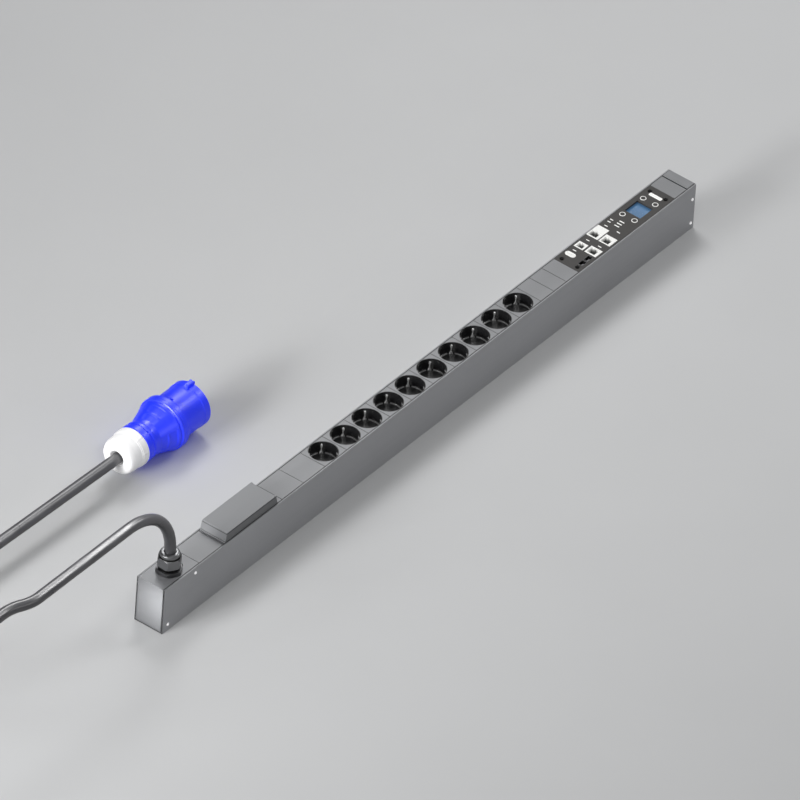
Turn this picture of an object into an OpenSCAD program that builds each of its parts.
// Vertical rack power strip: aluminium channel with ten socket modules, a
// hooded breaker module, a controller panel, a cable gland and a blue
// industrial inlet plug on a supply cable.
// X runs along the strip (cable end at -X), Y across it, Z up from the rear face.
// The strip's middle is at X = 0. Positions written as "from the cable end" are
// measured along X from the end face; every X given to along() is one of these.
// Name endings: _l length, _w width, _h height, _t thickness, _d depth,
// _r radius, _a angle, _n count; _x, _y, _z positions.

/* [Body] */
// Overall length of the strip
body_l = 1070; // [1070:1:1074]
// Outer width of the channel
body_w = 44; // [44:0.1:44.4]
// Height from the rear face to the top of the plates
body_h = 70; // [70:1:72]
// Thickness of the channel's side walls
wall_t = 1.5; // [1.3:0.1:1.5]
// Thickness of the channel's floor
floor_t = 2; // [1.5:0.1:2.1]
// Thickness of the top plates
plate_t = 3; // [2.6:0.1:3]
// Width of the top plates
plate_w = 39.8; // [39.6:0.1:40.2]
// Gap between neighbouring plates
seam = 0.45; // [0.3:0.05:0.6]

/* [Rear fixing] */
// Distance between the two rear insert nuts
rear_pitch = 980; // [960:5:985]
// Bore radius of a rear insert nut
rear_bore_r = 2.6; // [2.1:0.1:2.8]

/* [Sockets] */
// Number of socket modules
socket_n = 10; // [10:1:10]
// Distance between neighbouring sockets
socket_pitch = 43.5; // [43.5:0.1:43.6]
// Start of the socket row, from the cable end
socket_x0 = 322; // [321.8:0.1:322.2]
// Radius of the hole in a socket plate
socket_hole_r = 19.5; // [19.5:0.1:19.8]
// Radius of the recess mouth
mouth_r = 19.1; // [19:0.05:19.15]
// Floor of the recess below the plate top
recess_d = 17.5; // [17:0.5:18]
// Angle of the pin line, seen from above
pin_line_a = -45; // [-45:1:-45]
// Half the distance between the two pin holes
pin_half = 9.5; // [9.4:0.1:9.6]
// Radius of a pin hole
pin_hole_r = 2.6; // [2.5:0.05:2.8]

/* [Breaker module] */
// Start of the hood, from the cable end
hood_x0 = 122; // [121.5:0.5:122.5]
// End of the hood, from the cable end
hood_x1 = 227; // [227:0.5:227.5]
// Width of the hood
hood_w = 39.5; // [39:0.1:40]
// Height of the hood with its lid
hood_h = 14; // [14:0.5:16]
// Thickness of the lid
lid_t = 1.9; // [1.7:0.1:2]

/* [Controller panel] */
// Start of the panel, from the cable end
panel_x0 = 833.6; // [833.5:0.1:833.8]
// End of the panel, from the cable end
panel_x1 = 1029; // [1028.5:0.1:1029]
// Radius of a push button cap
button_r = 3; // [2.9:0.05:3.05]
// Outer radius of a button ring
ring_r = 4.1; // [4:0.1:4.3]

/* [Gland and cable] */
// Gland position, from the cable end
gland_x = 35.5; // [35:0.5:36]
// Radius of the supply cable
cable_r = 7.5; // [7:0.1:7.5]
// Radius of the bend above the gland
riser_r = 90.5; // [85:0.5:95]
// Start of the sideways bend, from the cable end
s_bend_x = -230; // [-240:1:-225]
// Radius of each half of the sideways bend
s_bend_r = 61; // [58:1:64]
// Angle of each half of the sideways bend
s_bend_a = 27; // [24:1:28]
// X where the loop leaves and returns
loop_x = -835; // [-840:1:-832]

/* [Plug] */
// X of the back face of the plug nut
plug_x = -342.3; // [-344:0.1:-340]
// Y of the back face of the plug nut
plug_y = 206.7; // [205:0.1:208]
// Height of the plug's axis
plug_z = 36.6; // [36.6:0.1:37]
// Yaw of the plug
plug_yaw = -0.42; // [-0.5:0.02:-0.3]
// Yaw of the cable behind the plug
cable_yaw = -1.64; // [-1.7:0.02:-1.5]
// Radius of the plug's collar
collar_r = 36.5; // [36:0.1:36.5]
// Radius of the plug's shroud
shroud_r = 30.9; // [30.7:0.1:30.9]

/* [Hidden] */
$fn = 64;

inner_w = body_w - 2*wall_t;
plate_z = body_h - plate_t;  // underside of the top plates
rail_w = 40.4;               // across the parts that slide between the side walls
thread_r = 1.2;              // small screws
pilot_r = 1.27;              // holes those screws turn into

// ---------- helpers: a range is [from, to] ----------
function span(width, middle = 0) = [middle - width/2, middle + width/2];
function widen(range, gap) = [range[0] - gap, range[1] + gap];
function above_top(low, high) = [body_h + low, body_h + high];

module along(x) translate([x - body_l/2, 0, 0]) children();
// A box filling three ranges
module block(x, y, z)
  along(x[0]) translate([0, y[0], z[0]]) cube([x[1] - x[0], y[1] - y[0], z[1] - z[0]]);
// An upright cylinder at [x, y] over a range of z
module post(place, z, radius)
  along(place[0]) translate([0, place[1], z[0]]) cylinder(r = radius, h = z[1] - z[0]);
// A centred cylinder lying along Y
module cross_rod(radius, length)
  rotate([90, 0, 0]) cylinder(r = radius, h = length, center = true);
module hexagon(radius, height) rotate(30) cylinder(r = radius, h = height, $fn = 6);

// ---------- channel, caps and plates ----------
groove_z = 59;    // snap groove inside each side wall
groove_h = 2.5;
groove_d = 0.8;
end_wall_t = 3;   // upright wall of an end cap
ear_t = 3;        // screw ears of the end caps
ear_y = rail_w/2 - ear_t/2;

// Joints between top plates, from the cable end
cable_cap_x1 = 70.8;
breaker_plate_x0 = 118.7;
breaker_plate_x1 = 236.1;
socket_x1 = socket_x0 + socket_n*socket_pitch;
// Plain plates: start and end, from the cable end
blanks = [[cable_cap_x1, breaker_plate_x0], [breaker_plate_x1, 279.2], [279.2, socket_x0],
  [socket_x1, 783.3], [783.3, 808.5], [808.5, panel_x0], [panel_x1, 1053.5]];
// Side screws: distance from the cable end and height above the rear face
cable_end_screws = [[10.2, 10], [61.2, 61.4]];
far_end_screws = [[body_l - 6, 10.4], [body_l - 6, 48.4]];
side_screws = concat(cable_end_screws, far_end_screws);

module profile_body() color("#8f9193") difference() {
  block([0, body_l], span(body_w), [0, body_h]);
  block([-1, body_l + 1], span(inner_w), [floor_t, body_h + 1]);
  for (side = [-1, 1]) {
    block([-1, body_l + 1], span(2*groove_d, side*inner_w/2), [groove_z, groove_z + groove_h]);
    for (screw = side_screws)
      along(screw[0]) translate([0, side*(body_w/2 - wall_t/2), screw[1]])
        cross_rod(1.7, wall_t + 2);
    translate([side*rear_pitch/2, 0, -1]) cylinder(r = 4, h = floor_t + 2);
  }
}

// A plate between the side walls, with four sprung legs that snap into the grooves
leg_w = 5;
leg_t = 1.2;
module plate(x0, x1) {
  length = x1 - x0 - seam;
  along((x0 + x1)/2) {
    translate([-length/2, -plate_w/2, plate_z]) cube([length, plate_w, plate_t]);
    for (end = [-1, 1], side = [-1, 1])
      translate([end*(length/2 - 5), side*(rail_w/2 - leg_t/2), 0]) {
        translate([-leg_w/2, -leg_t/2, plate_z - 8.5]) cube([leg_w, leg_t, 9]);
        translate([-1.5, side*0.8 - 0.4, groove_z + 0.55]) cube([3, 0.8, 1.4]);
      }
  }
}
module blank_plates() color("#959799") for (blank = blanks) plate(blank[0], blank[1]);

// A pair of ears inside the side walls, bored for the side screws
module ears(x, z, screw) for (side = [-1, 1]) difference() {
  block(x, span(ear_t, side*ear_y), z);
  along(screw[0]) translate([0, side*ear_y, screw[1]]) cross_rod(pilot_r, 5);
}
module cable_end_cap() color("#85878a") {
  difference() {
    union() {
      block([0, end_wall_t], span(plate_w), [floor_t + 0.3, body_h]);
      block([0, cable_cap_x1 - seam/2], span(plate_w), [plate_z, body_h]);
    }
    post([gland_x, 0], [plate_z - 1, body_h + 1], gland_thread_r + 0.15);
  }
  ears([end_wall_t - 0.1, 15], [4, 16], cable_end_screws[0]);
  ears([55, 67], [56, plate_z + 0.1], cable_end_screws[1]);
}
module far_end_cap() color("#85878a") {
  union() {
    block([body_l - end_wall_t, body_l], span(plate_w), [floor_t + 0.3, body_h]);
    block([body_l - 15, body_l], span(plate_w), [plate_z, body_h]);
  }
  for (screw = far_end_screws)
    ears([body_l - 12, body_l - end_wall_t + 0.1], span(12, screw[1]), screw);
}

// Pan head screw lying along Y, its head standing out towards +Y from y = 0
module side_screw() rotate([-90, 0, 0]) difference() {
  union() {
    translate([0, 0, -4.5]) cylinder(r = thread_r, h = 4.6);
    translate([0, 0, 0.03]) cylinder(r = 2.1, h = 0.6);
    translate([0, 0, 0.6]) cylinder(r1 = 2.1, r2 = 1.5, h = 0.45);
  }
  translate([0, 0, 0.5]) cylinder(r = 0.85, h = 1, $fn = 6);
}
module end_cap_screws() color("silver") for (flip = [0, 1], screw = side_screws)
  along(screw[0]) mirror([0, flip, 0]) translate([0, body_w/2, screw[1]]) side_screw();

module rear_insert_nuts() color("silver") for (side = [-1, 1])
  translate([side*rear_pitch/2, 0, 0]) difference() {
    union() {
      translate([0, 0, 0.1]) cylinder(r = 3.95, h = 2.1);
      translate([0, 0, floor_t + 0.05]) cylinder(r = 6, h = 3);
    }
    translate([0, 0, -1]) cylinder(r = rear_bore_r, h = 10);
  }

// ---------- socket modules ----------
insert_top = plate_z - 0.1;   // top of the cup's flange
recess_z = body_h - recess_d;
insert_bot = recess_z - 2.5;
function socket_x(i) = socket_x0 + socket_pitch*(i + 0.5);

module socket_plates() color("#959799") for (i = [0 : socket_n - 1]) difference() {
  plate(socket_x0 + socket_pitch*i, socket_x0 + socket_pitch*(i + 1));
  post([socket_x(i), 0], [plate_z - 1, body_h + 1], socket_hole_r);
}

// Black cup with the recess, two pin holes, two guide ribs and two slots for the earth clips
module socket_insert(i) color("#161616") along(socket_x(i)) difference() {
  union() {
    difference() {
      union() {
        translate([0, 0, insert_bot]) cylinder(r = 20.1, h = insert_top - insert_bot);
        translate([0, 0, insert_bot + 1])
          cylinder(r = socket_hole_r - 0.06, h = body_h - 0.25 - insert_bot - 1);
      }
      translate([0, 0, recess_z]) cylinder(r = mouth_r - 0.2, h = 30);
      translate([0, 0, insert_top - 0.1]) cylinder(r = mouth_r, h = 30);
    }
    rotate([0, 0, pin_line_a]) for (turn = [0, 180]) rotate([0, 0, turn]) intersection() {
      translate([16.8, -2.5, recess_z - 0.5]) cube([3, 5, 13.5]);
      translate([0, 0, insert_bot]) cylinder(r = 19.5, h = 30);
    }
  }
  rotate([0, 0, pin_line_a]) for (side = [-1, 1]) {
    translate([side*pin_half, 0, insert_bot - 1]) cylinder(r = pin_hole_r, h = 5);
    translate([-4.3, side*17.8 - 0.7, insert_bot - 1]) cube([8.6, 1.4, 5]);
  }
}
module socket_insert_01() socket_insert(0);
module socket_insert_02() socket_insert(1);
module socket_insert_03() socket_insert(2);
module socket_insert_04() socket_insert(3);
module socket_insert_05() socket_insert(4);
module socket_insert_06() socket_insert(5);
module socket_insert_07() socket_insert(6);
module socket_insert_08() socket_insert(7);
module socket_insert_09() socket_insert(8);
module socket_insert_10() socket_insert(9);

// Sprung earth strap: two arms that stand in the recess, joined under the cup
clip_z = insert_bot - 2.4;
clip_top = 66.4;
// Thin section of one arm: distance from the socket's axis, z
clip_section = [[17.4, clip_z], [18.2, clip_z], [18.2, 60], [18.7, clip_top],
  [17.95, clip_top], [17.4, 60]];
// Broad face of one arm: distance from its centre line, z
clip_face = [[-4, clip_z], [4, clip_z], [4, 53], [1.4, 58], [1.4, 61.4], [1.9, 62],
  [1.9, clip_top], [-1.9, clip_top], [-1.9, 62], [-1.4, 61.4], [-1.4, 58], [-4, 53]];
module earth_clip(i) along(socket_x(i)) rotate([0, 0, pin_line_a + 90]) {
  translate([-18.2, -3.5, clip_z]) cube([36.4, 7, 1]);
  for (turn = [0, 180]) rotate([0, 0, turn]) intersection() {
    rotate([90, 0, 0]) linear_extrude(height = 12, center = true) polygon(clip_section);
    rotate([90, 0, 90]) linear_extrude(height = 30) polygon(clip_face);
  }
}
module earth_clips() color("silver") for (i = [0 : socket_n - 1]) earth_clip(i);

// Flat bar on edge with one sprung sleeve under each pin hole
bar_x0 = 250;
bar_t = 1.2;
module contact_bar(side) {
  pin_x = pin_half*cos(pin_line_a)*side;
  pin_y = pin_half*sin(pin_line_a)*side;
  difference() {
    union() {
      block([bar_x0, socket_x(socket_n - 1) + pin_x + 6], span(bar_t, pin_y), [28, 36]);
      for (i = [0 : socket_n - 1])
        post([socket_x(i) + pin_x, pin_y], [34, insert_bot - 0.3], 3.4);
    }
    for (i = [0 : socket_n - 1]) {
      post([socket_x(i) + pin_x, pin_y], [37, insert_bot], 2.45);
      block(span(0.8, socket_x(i) + pin_x), span(10, pin_y), [41, 61]);
    }
  }
}
module busbar_live() color("#c8843c") contact_bar(1);
module busbar_neutral() color("#c8843c") contact_bar(-1);
module busbar_earth() color("#c8843c")
  block([bar_x0, socket_x(socket_n - 1) + 12], span(bar_t), [41, insert_bot - 2.5]);

// ---------- gland ----------
gland_thread_r = 12.4;
gland_hex_r = 18.4;
// A gland part centred on the gland, over heights above the plate top
module gland_post(low, high, radius) post([gland_x, 0], above_top(low, high), radius);

module gland_body() color("#3a3c3f") difference() {
  union() {
    post([gland_x, 0], [60.5, body_h + 0.2], gland_thread_r);
    gland_post(0.05, 1.2, 16.9);
    along(gland_x) translate([0, 0, body_h + 1]) hexagon(gland_hex_r, 3.3);
    along(gland_x) translate([0, 0, body_h + 4.2]) intersection() {
      hexagon(gland_hex_r, 1.6);
      cylinder(r1 = 18.5, r2 = 16.2, h = 1.6);
    }
    gland_post(5.7, 9.6, 14.3);
    gland_post(8, 20, 12.3);
  }
  post([gland_x, 0], [50, body_h + 30], 8.1);
  gland_post(12, 30, 10.5);
}
module gland_locknut() color("#3a3c3f")
  along(gland_x) translate([0, 0, plate_z - 4.6]) difference() {
    hexagon(17, 4.5);
    translate([0, 0, -1]) cylinder(r = gland_thread_r + 0.06, h = 8);
  }

// Rounded top of the dome nut: radius, height
dome_profile = [[0, 0], [12.7, 0], [13, 0.4], [13, 2.4], [12.5, 3.6], [11.2, 4.5],
  [9.2, 4.9], [0, 4.9]];
module gland_dome_nut() color("#4a4c50") along(gland_x) difference() {
  union() {
    translate([0, 0, body_h + 9.8]) intersection() {
      hexagon(16.4, 14.2);
      union() {
        cylinder(r1 = 15.2, r2 = 16.5, h = 1.2);
        translate([0, 0, 1.2]) cylinder(r = 16.5, h = 10);
        translate([0, 0, 11.2]) cylinder(r1 = 16.5, r2 = 14, h = 3);
      }
    }
    translate([0, 0, body_h + 23.9]) cylinder(r = 11.9, h = 2);
    translate([0, 0, body_h + 25.4]) rotate_extrude() polygon(dome_profile);
  }
  translate([0, 0, body_h + 9]) cylinder(r = 12.37, h = 12.5);
  translate([0, 0, body_h + 20]) cylinder(r = 10.6, h = 4.6);
  translate([0, 0, body_h + 20]) cylinder(r = 8.2, h = 20);
}

module tube(place, z, outer_r, bore_r) along(place[0]) translate([0, place[1], z[0]]) difference() {
  cylinder(r = outer_r, h = z[1] - z[0]);
  translate([0, 0, -1]) cylinder(r = bore_r, h = z[1] - z[0] + 2);
}
// Rubber compression seal inside the gland, and the ring in the groove under the dome
module gland_seal() color("#101010") {
  tube([gland_x, 0], above_top(12.1, 24.4), 10.4, cable_r + 0.08);
  tube([gland_x, 0], above_top(24.1, 25.3), 12.6, 11.95);
}

// ---------- supply cable ----------
// A straight length along +X, then whatever follows it
module run(length) {
  rotate([0, 90, 0]) translate([0, 0, 0.1]) cylinder(r = cable_r, h = length - 0.2);
  translate([length, 0, 0]) children();
}
// A bend towards local +Y after a roll about the cable, then whatever follows it
module bend(radius, angle, roll = 0) {
  splice();
  rotate([roll, 0, 0]) {
    translate([0, radius, 0]) rotate([0, 0, -90]) rotate_extrude(angle = angle)
      translate([radius, 0]) circle(cable_r);
    translate([0, radius, 0]) rotate([0, 0, angle]) translate([0, -radius, 0])
      rotate([-roll, 0, 0]) {
        splice();
        children();
      }
  }
}
// A hair-thin band that joins two lengths into one solid
module splice() rotate([0, 90, 0]) cylinder(r = cable_r + 0.05, h = 0.8, center = true);

function forward(heading) = [cos(heading), sin(heading)];
function right(heading) = [sin(heading), -cos(heading)];

// Lower length, in plan, from the plug back to the loop
end_run = 8;       // straight behind the plug nut
inside_plug = 40;  // cable hidden in the plug
bend_r = 300;
tail = 4;          // straight before the loop
plug_heading = 180 + plug_yaw;
straight_heading = 180 + cable_yaw;
bend_start = [plug_x, plug_y] - end_run*forward(plug_yaw);
bend_end = bend_start + bend_r*right(plug_heading) - bend_r*right(straight_heading);
last_bend = -bend_r*right(straight_heading) + bend_r*right(180);
straight = (loop_x + tail - last_bend[0] - bend_end[0])/cos(straight_heading);
tail_start = bend_end + straight*forward(straight_heading) + last_bend;

// Upper length, from the gland to the loop
cable_z0 = 52;     // inner end of the cable
riser_z0 = body_h + 30.5;
high_z = riser_z0 + riser_r;
run_to_s_bend = gland_x - riser_r - s_bend_x;
run_to_loop = s_bend_x - body_l/2 - 2*s_bend_r*sin(s_bend_a) - loop_x;

// The loop is a half turn that joins the two lengths
loop_dy = tail_start[1] - 2*s_bend_r*(1 - cos(s_bend_a));
loop_dz = high_z - plug_z;
loop_r = norm([loop_dy, loop_dz])/2;
loop_roll = atan2(loop_dz, loop_dy);

module supply_cable() color("#1c1c1e") union() {
  along(gland_x) translate([0, 0, cable_z0]) rotate([0, -90, 0])
    run(riser_z0 - cable_z0)
    bend(riser_r, 90, roll = 90)
    run(run_to_s_bend)
    bend(s_bend_r, s_bend_a)
    bend(s_bend_r, s_bend_a, roll = 180)
    run(run_to_loop)
    bend(loop_r, 180, roll = loop_roll);
  translate([plug_x + inside_plug*cos(plug_yaw), plug_y + inside_plug*sin(plug_yaw), plug_z])
    rotate([0, 0, plug_heading])
    run(inside_plug + end_run)
    bend(bend_r, plug_yaw - cable_yaw, roll = 180)
    run(straight)
    bend(bend_r, -cable_yaw)
    run(tail);
}

// ---------- internal wiring ----------
terminal_x = [78, 112];
wire_y = 9;
core_r = 2.1;
core_z = 40;       // where the cores start to turn
// One insulated core from the stripped end of the cable to the terminal block,
// at an offset from the cable's axis
module core(offset_x, offset_y) along(gland_x) translate([offset_x, offset_y, 0]) {
  turn_r = 12 - offset_x;
  translate([0, 0, core_z]) cylinder(r = core_r, h = cable_z0 - 0.1 - core_z);
  translate([turn_r, 0, core_z]) rotate([90, 0, 0]) rotate([0, 0, 180])
    rotate_extrude(angle = 90) translate([turn_r, 0]) circle(core_r);
  translate([turn_r, 0, core_z - turn_r]) rotate([0, 90, 0])
    cylinder(r = core_r, h = terminal_x[0] - 0.2 - gland_x - 12);
}
module wire(x0, x1, y, z)
  along(x0) translate([0, y, z]) rotate([0, 90, 0]) cylinder(r = 1.6, h = x1 - x0);
module internal_wires() color("#7a5a30") {
  core(-2.8, 0);
  core(1.4, 2.45);
  core(1.4, -2.45);
  for (y = [-wire_y, wire_y]) {
    wire(terminal_x[1] + 0.3, breaker_x[0] - 0.2, y, 26);
    wire(breaker_x[1] + 0.2, bar_x0 - 0.2, y, 32);
  }
  plug_at() for (turn = [0, 120, 240])
    rotate([0, 0, turn]) translate([-4.2, 0, 40.3]) cylinder(r = 2, h = 43);
}
module terminal_block() color("#9aa0a2") difference() {
  block(terminal_x, span(34), [floor_t + 0.2, 36]);
  for (y = [-wire_y, 0, wire_y])
    block([terminal_x[0] + 8, terminal_x[0] + 26], span(6, y), [30, 40]);
}

// ---------- breaker module ----------
lid_z = body_h + hood_h - lid_t;   // underside of the lid
hinge_x = hood_x1 - 5.1;
hinge_z = body_h + hood_h - 1.1;
hinge_hole_r = 0.56;
opening_x = [130.7, 219.3];        // opening in the base plate
// Inward lean of the hood's ends per unit of height
lean_x0 = 3.5/14;
lean_x1 = 3.6/14;

module breaker_base_plate() color("#959799") difference() {
  plate(breaker_plate_x0, breaker_plate_x1);
  block(opening_x, span(36), [plate_z - 1, body_h + 1]);
}

// Solid in the hood's shape between two heights, its ends leaning in towards the top
function hood_start(z, inset) = hood_x0 - body_l/2 + lean_x0*(z - body_h) + inset;
function hood_end(z, inset) = hood_x1 - body_l/2 - lean_x1*(z - body_h) - inset;
module hood_solid(z0, z1, inset = 0)
  rotate([90, 0, 0]) linear_extrude(height = hood_w - 2*inset, center = true)
    polygon([[hood_start(z1, inset), z1], [hood_start(z0, inset), z0],
      [hood_end(z0, inset), z0], [hood_end(z1, inset), z1]]);
module at_hinge(y = 0) along(hinge_x) translate([0, y, hinge_z]) children();

module breaker_hood() color("#8b8d90") {
  difference() {
    union() {
      hood_solid(body_h + 0.3, lid_z - 0.1);
      block([hood_x0 - 0.8, hood_x1 + 0.6], span(hood_w), above_top(0.3, 1.75));
    }
    hood_solid(body_h + 1.6, lid_z + 1, 2);
    block([hood_x0 + 10.3, hood_x1 - 9.3], span(35.6), above_top(-1, 5));
    // shadow line above the foot
    difference() {
      block([hood_x0 - 3, hood_x1 + 3], span(60), above_top(1.75, 2.45));
      hood_solid(body_h + 1, body_h + 3, 0.6);
    }
    // room for the lid's hinge barrel
    block([hinge_x - 1.5, hinge_x + 1.35], span(34), [lid_z - 1.5, lid_z + 5]);
    block([hinge_x - 6, hinge_x - 1], span(35.5), [lid_z - 1.5, lid_z + 5]);
  }
  // hinge ears at the two corners
  for (side = [-1, 1]) difference() {
    block([hinge_x - 1.1, hinge_x + 1.5], span(2.6, side*18.45), [lid_z - 2, lid_z + lid_t - 0.1]);
    at_hinge(side*18) cross_rod(hinge_hole_r, 6);
  }
  // snap tabs through the base plate
  for (flip = [0, 1]) along((opening_x[0] + opening_x[1])/2) mirror([flip, 0, 0])
    translate([-44, -8, plate_z - 2.6]) {
      cube([1.3, 16, 6.8]);
      translate([-1.4, 0, 0]) cube([1.5, 16, 2.3]);
    }
}
module breaker_lid() color("#8b8d90") difference() {
  union() {
    intersection() {
      hood_solid(lid_z, body_h + hood_h);
      block([hood_x0 - 5, hinge_x - 1.6], span(100), [0, 200]);
    }
    block([hinge_x - 1.7, hinge_x], span(33.6), [hinge_z - 1.08, hinge_z + 1.1]);
    at_hinge() cross_rod(1.1, 33.6);
    // catch that hooks inside the hood at the cable end
    block([hood_x0 + 6, hood_x0 + 7.2], span(12), [lid_z - 5, lid_z + 0.2]);
  }
  at_hinge() cross_rod(hinge_hole_r, 50);
}
module lid_hinge_pin() color("silver") at_hinge() cross_rod(0.5, 38.8);

breaker_x = [134, 217];
breaker_w = 17.4;
breaker_y = 8.85;  // middle of each breaker, either side of the strip's centre line
toggle_x = 175.5;
toggle_z = 71.2;
module at_toggle(y) along(toggle_x) translate([0, y, toggle_z]) children();

module circuit_breaker(y) color("#d9d9d4") difference() {
  union() {
    block(breaker_x, span(breaker_w, y), [floor_t + 0.2, 61.5]);
    block([153, 198], span(breaker_w, y), [60, 75.5]);
  }
  at_toggle(y) cross_rod(5.3, 8.4);
  block(span(10.8, toggle_x), span(8.4, y), [toggle_z + 2, 90]);
  at_toggle(y) cross_rod(1.56, 13);
}
module circuit_breaker_1() circuit_breaker(-breaker_y);
module circuit_breaker_2() circuit_breaker(breaker_y);
// Drum on a pivot, with a leaning lever
module breaker_toggle(y) color("#2a2a2c") at_toggle(y) {
  cross_rod(5, 8);
  cross_rod(1.5, 12.6);
  rotate([0, -25, 0]) translate([-1.5, -3, 0]) cube([3, 6, 9.6]);
}
module breaker_toggle_1() breaker_toggle(-breaker_y);
module breaker_toggle_2() breaker_toggle(breaker_y);

// ---------- controller panel ----------
pcb_z = 56;
parts_z = pcb_z + 1.65;  // foot of the parts on the board
cut_z = [60, 80];        // range of the cuts through the faceplate
port_gap = 0.12;         // faceplate clearance round jacks and USB ports
led_gap = 0.08;
ring_gap = 0.06;
// Buttons and panel screws: distance from the cable end and Y
buttons = [[960.7, 10.2], [960.7, -9], [1003, 10.2], [1003, -9]];
panel_screws = [[840, 12.4], [840, -12.4], [1019.5, 12.4], [1019.5, -12.4]];
// Jacks: x and y ranges of the frame, then of the port
jacks = [
  [[899.1, 923.8], [2.2, 19.8], [901.2, 911.1], [6.2, 18.2]],
  [[899.1, 915.8], [-17.2, 0.5], [900.9, 911.1], [-13.2, -1.9]],
  [[870.5, 885.6], [-17.2, 0.5], [872.9, 883.2], [-13.2, -1.9]],
  [[870.6, 883], [3.4, 17.6], [872.4, 880.6], [6, 15]]];
// USB ports: an x range each, and their shared y range
usb = [[845.8, 855.8], [857, 868]];
usb_y = [-15.6, -8.3];
// Indicator windows: x, y, size along Y
leds = [[937.6, 13.6, 4.6], [942.9, 13.6, 4.6], [937.4, 1.1, 7.5], [942.7, 1.1, 7.5],
  [948, 1.1, 7.5]];
led_w = 1.7;
display_x = [968.8, 994.9];
display_y = [-11.9, 13.1];
sensor = [854.1, 9.7];
sensor_w = 8;
sensor_l = 15.3;
// Bosses that carry the circuit board: x, y
bosses = [[850, -3.2], [892.3, 0], [930, -15], [1010, 15], [1010, -15]];

// An upright slot shape, long along Y
module pill(place, width, length, z) {
  for (side = [-1, 1]) post([place[0], place[1] + side*(length - width)/2], z, width/2);
  block(span(width, place[0]), span(length - width, place[1]), z);
}
module led_block(led, gap, z)
  block(widen(span(led_w, led[0]), gap), widen(span(led[2], led[1]), gap), z);

module controller_faceplate() color("#484645") {
  difference() {
    block(widen([panel_x0, panel_x1], -seam/2), span(plate_w), [plate_z, body_h]);
    for (jack = jacks) block(widen(jack[0], port_gap), widen(jack[1], port_gap), cut_z);
    for (port_x = usb) block(widen(port_x, port_gap), widen(usb_y, port_gap), cut_z);
    pill(sensor, sensor_w + 0.3, sensor_l + 0.3, cut_z);
    for (led = leds) led_block(led, led_gap, cut_z);
    for (button = buttons) post(button, cut_z, ring_r + ring_gap);
    block(display_x, display_y, cut_z);
    for (screw = panel_screws) post(screw, cut_z, 1.6);
  }
  for (boss = bosses) post(boss, [parts_z, plate_z + 0.1], 2.5);
}
// Cross-slotted screws
module faceplate_screws() color("#202020") for (screw = panel_screws)
  along(screw[0]) translate([0, screw[1], body_h]) difference() {
    union() {
      translate([0, 0, -9]) cylinder(r = thread_r, h = 9.2);
      translate([0, 0, 0.04]) cylinder(r = 2.8, h = 0.9);
      translate([0, 0, 0.9]) cylinder(r1 = 2.8, r2 = 1.7, h = 0.8);
    }
    for (turn = [0, 90]) rotate(turn) translate([-1.3, -0.3, 0.9]) cube([2.6, 0.6, 2]);
  }
// Cross bars under the panel screws, with tongues in the side grooves
module faceplate_brackets() color("silver") for (x = [840, 1019.5]) difference() {
  union() {
    block(span(9, x), span(rail_w), [groove_z + 1, plate_z - 0.1]);
    for (side = [-1, 1])
      block(span(6, x), span(1, side*(rail_w/2 + 0.1)), [groove_z + 1, groove_z + 2.2]);
  }
  for (y = [-12.4, 12.4]) post([x, y], [50, 80], pilot_r);
}
module controller_pcb() color("#1d5a34") block([836, 1027], span(36), [pcb_z, pcb_z + 1.6]);
module display_module() color("#28384a")
  block(widen(display_x, 3), widen(display_y, 1.6), [pcb_z + 1.7, 65.7]);
module display_window() color("#5a90c0")
  block(widen(display_x, 1.5), widen(display_y, 1.2), [65.8, plate_z - 0.06]);
// Push button: cap above the ring, a flange under it and a stem down to its switch
module push_button(place) color("#3c3a39") {
  post(place, [65.5, body_h + 0.45], button_r);
  post(place, [65, 66], 3.95);
  post(place, [62.7, 65.5], 1.1);
}
module button_1() push_button(buttons[0]);
module button_2() push_button(buttons[1]);
module button_3() push_button(buttons[2]);
module button_4() push_button(buttons[3]);
module button_rings() color("#ecece8") for (button = buttons)
  tube(button, [plate_z, body_h + 0.4], ring_r, button_r + ring_gap);
module tact_switches() color("#222222") for (button = buttons) {
  block(span(6, button[0]), span(6, button[1]), [parts_z, pcb_z + 5]);
  post(button, [pcb_z + 4.9, pcb_z + 5.7], 1.6);
}
module data_jacks() color("#eeeeea") for (jack = jacks) difference() {
  port_x = jack[2];
  port_y = jack[3];
  block(jack[0], jack[1], [parts_z, body_h + 0.2]);
  block(port_x, port_y, [pcb_z + 4, body_h + 1]);
  // notch for the latch of the mating plug
  block([port_x[1] - 1, port_x[1] + 1.6], span(3.4, (port_y[0] + port_y[1])/2),
    [pcb_z + 6, body_h + 1]);
}
module sensor_connector() color("#eeeeea") difference() {
  pill(sensor, sensor_w, sensor_l, [parts_z, body_h + 0.5]);
  for (k = [-1.5 : 1 : 1.5])
    block(span(1.6, sensor[0]), span(1.6, sensor[1] + k*3), above_top(-6, 2));
}
// Metal shells, each with a tongue inside
module usb_ports() color("silver") for (port_x = usb) {
  difference() {
    block(port_x, usb_y, [parts_z, body_h + 0.1]);
    block(widen(port_x, -0.5), widen(usb_y, -0.5), [pcb_z + 4, body_h + 1]);
  }
  block([port_x[0] + 1.2, port_x[1] - 4.4], [usb_y[0] + 1.2, usb_y[0] + 3.2],
    [pcb_z + 3.5, body_h - 1]);
}
module light_pipes() color("#f2f2ee")
  for (led = leds) led_block(led, 0, [pcb_z + 1.7, body_h + 0.05]);
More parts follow.
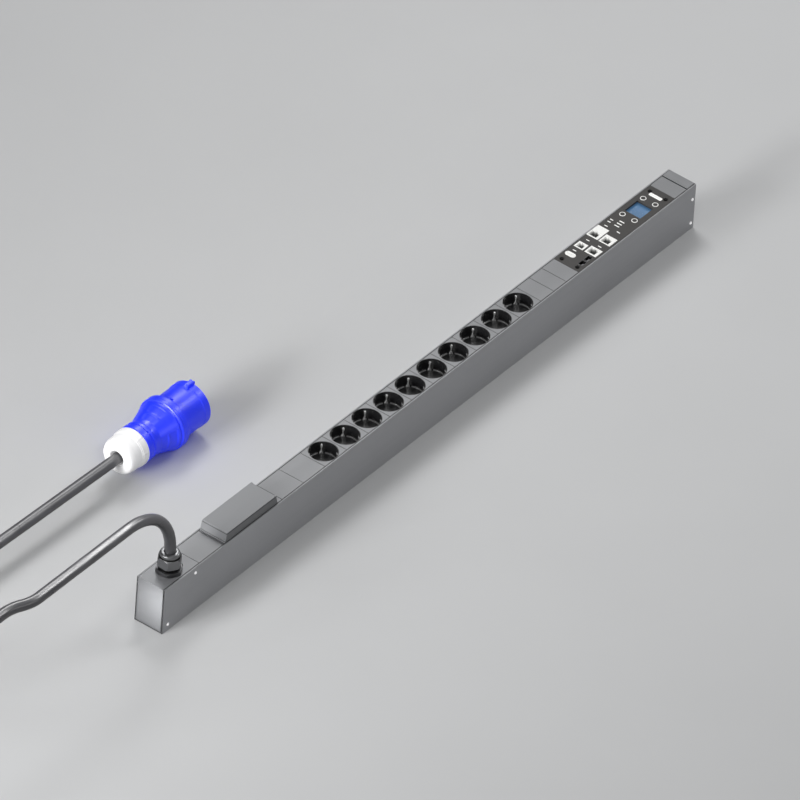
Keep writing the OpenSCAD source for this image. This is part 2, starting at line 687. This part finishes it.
// Board on four posts, with two box-shaped and two round parts
module power_supply_board() color("#2c6a3e") {
  block([856, 1002], span(34), [20, 21.6]);
  for (x = [862, 996], y = [-12, 12]) post([x, y], [floor_t + 0.1, 20.5], 2.5);
  block([880, 912], span(26), [21.5, 47]);
  for (y = [-7, 9]) post([930, y], [21.5, 44], 6.5);
  block([950, 980], [-14, 12], [21.5, 38]);
}

// ---------- plug ----------
// The plug's own frame: Z forward along its axis, -X towards the top.
// Turned profiles are radius, distance forward of the nut's back face.
plug_l = 148;
pin_circle_r = 12.4;
// Pins: angle from the top, radius
pins = [[120, 3], [240, 3], [0, 4]];
nut_profile = [[8.4, 8], [10.4, 0], [19.6, 0], [21.6, 0.7], [23.2, 2.2], [24.3, 4.6],
  [24.9, 8], [25.3, 15], [25.4, 20], [26.2, 21.6], [26.8, 23.4], [26.9, 31], [26.3, 33.2],
  [25.6, 33.8], [22, 33.8], [22, 10], [8.4, 10]];
seal_profile = [[cable_r + 0.08, 10.2], [21.6, 10.2], [21.6, 15.7], [14.6, 15.9], [14.6, 18],
  [cable_r + 0.08, 18]];
body_profile = [[15, 16], [21.93, 16], [21.93, 34.1], [26, 34.1], [26.4, 34.6], [26.4, 42.6],
  [25.9, 43.4], [25.3, 43.7], [25.3, 44.6], [25.9, 45], [26.1, 48.6], [25.5, 50.5], [25.3, 53],
  [25.6, 58], [27, 62.5], [30.6, 74], [33.6, 82.6], [34.4, 85.2], [34.4, 87.2], [35.4, 87.7],
  [collar_r - 0.3, 88.6], [collar_r, 89.6], [collar_r, 98.6], [collar_r - 0.4, 99.7],
  [collar_r - 1.4, 100.2], [shroud_r + 0.1, 100.2], [shroud_r + 0.1, 92],
  [28, 92], [28, 80], [22, 64], [22, 38], [15, 34]];
shroud_profile = [[28.4, 92.2], [shroud_r, 92.2], [shroud_r, 137.1], [shroud_r + 0.5, 137.5],
  [shroud_r + 0.6, 138.2], [shroud_r + 0.6, 147.2], [shroud_r, 147.9],
  [shroud_r - 0.5, plug_l], [28.9, plug_l], [28.4, 147.5]];
// Locating key: local x, distance forward
key_outline = [[-30.2, 133.6], [-31.2, 133.6], [-35.6, 135.4], [-36, 136.2], [-36, 147.6],
  [-35.6, plug_l], [-30.2, plug_l]];

module plug_at() translate([plug_x, plug_y, plug_z]) rotate([0, 0, plug_yaw])
  rotate([0, 90, 0]) children();
module plug_nut() color("white") plug_at() difference() {
  rotate_extrude($fn = 96) polygon(nut_profile);
}
module plug_seal() color("#181818") plug_at() rotate_extrude() polygon(seal_profile);
module plug_body() color("#1e34ff") plug_at() rotate_extrude($fn = 96) polygon(body_profile);
module plug_shroud() color("#2a3cff") plug_at() {
  rotate_extrude($fn = 96) polygon(shroud_profile);
  // locating key at the top of the shroud
  rotate([90, 0, 0]) linear_extrude(height = 6, center = true) polygon(key_outline);
}
module at_pin(angle) rotate([0, 0, angle]) translate([-pin_circle_r, 0, 0]) children();
module plug_pin_carrier() color("#20242c") plug_at() difference() {
  union() {
    translate([0, 0, 92.3]) cylinder(r = 28.3, h = 15.7);
    translate([0, 0, 84]) cylinder(r = 22, h = 9);
  }
  for (pin = pins) at_pin(pin[0]) translate([0, 0, 80]) cylinder(r = pin[1] - 0.35, h = 40);
}
// Thinner shank in the carrier, the pin itself and its tapered tip
module contact_pin(radius) {
  translate([0, 0, 85]) cylinder(r = radius - 0.4, h = 24);
  translate([0, 0, 108.02]) cylinder(r = radius, h = 28.98);
  translate([0, 0, 137]) cylinder(r1 = radius, r2 = radius - 1.4, h = 2.5);
}
module plug_pins() color("silver") plug_at() for (pin = pins) at_pin(pin[0]) contact_pin(pin[1]);

profile_body();
cable_end_cap();
far_end_cap();
end_cap_screws();
blank_plates();
socket_plates();
socket_insert_01();
socket_insert_02();
socket_insert_03();
socket_insert_04();
socket_insert_05();
socket_insert_06();
socket_insert_07();
socket_insert_08();
socket_insert_09();
socket_insert_10();
earth_clips();
busbar_live();
busbar_neutral();
busbar_earth();
gland_body();
gland_seal();
gland_dome_nut();
gland_locknut();
supply_cable();
internal_wires();
terminal_block();
breaker_base_plate();
breaker_hood();
breaker_lid();
lid_hinge_pin();
circuit_breaker_1();
circuit_breaker_2();
breaker_toggle_1();
breaker_toggle_2();
controller_faceplate();
faceplate_screws();
faceplate_brackets();
controller_pcb();
display_module();
display_window();
button_1();
button_2();
button_3();
button_4();
button_rings();
tact_switches();
data_jacks();
sensor_connector();
usb_ports();
light_pipes();
power_supply_board();
rear_insert_nuts();
plug_nut();
plug_seal();
plug_body();
plug_shroud();
plug_pin_carrier();
plug_pins();
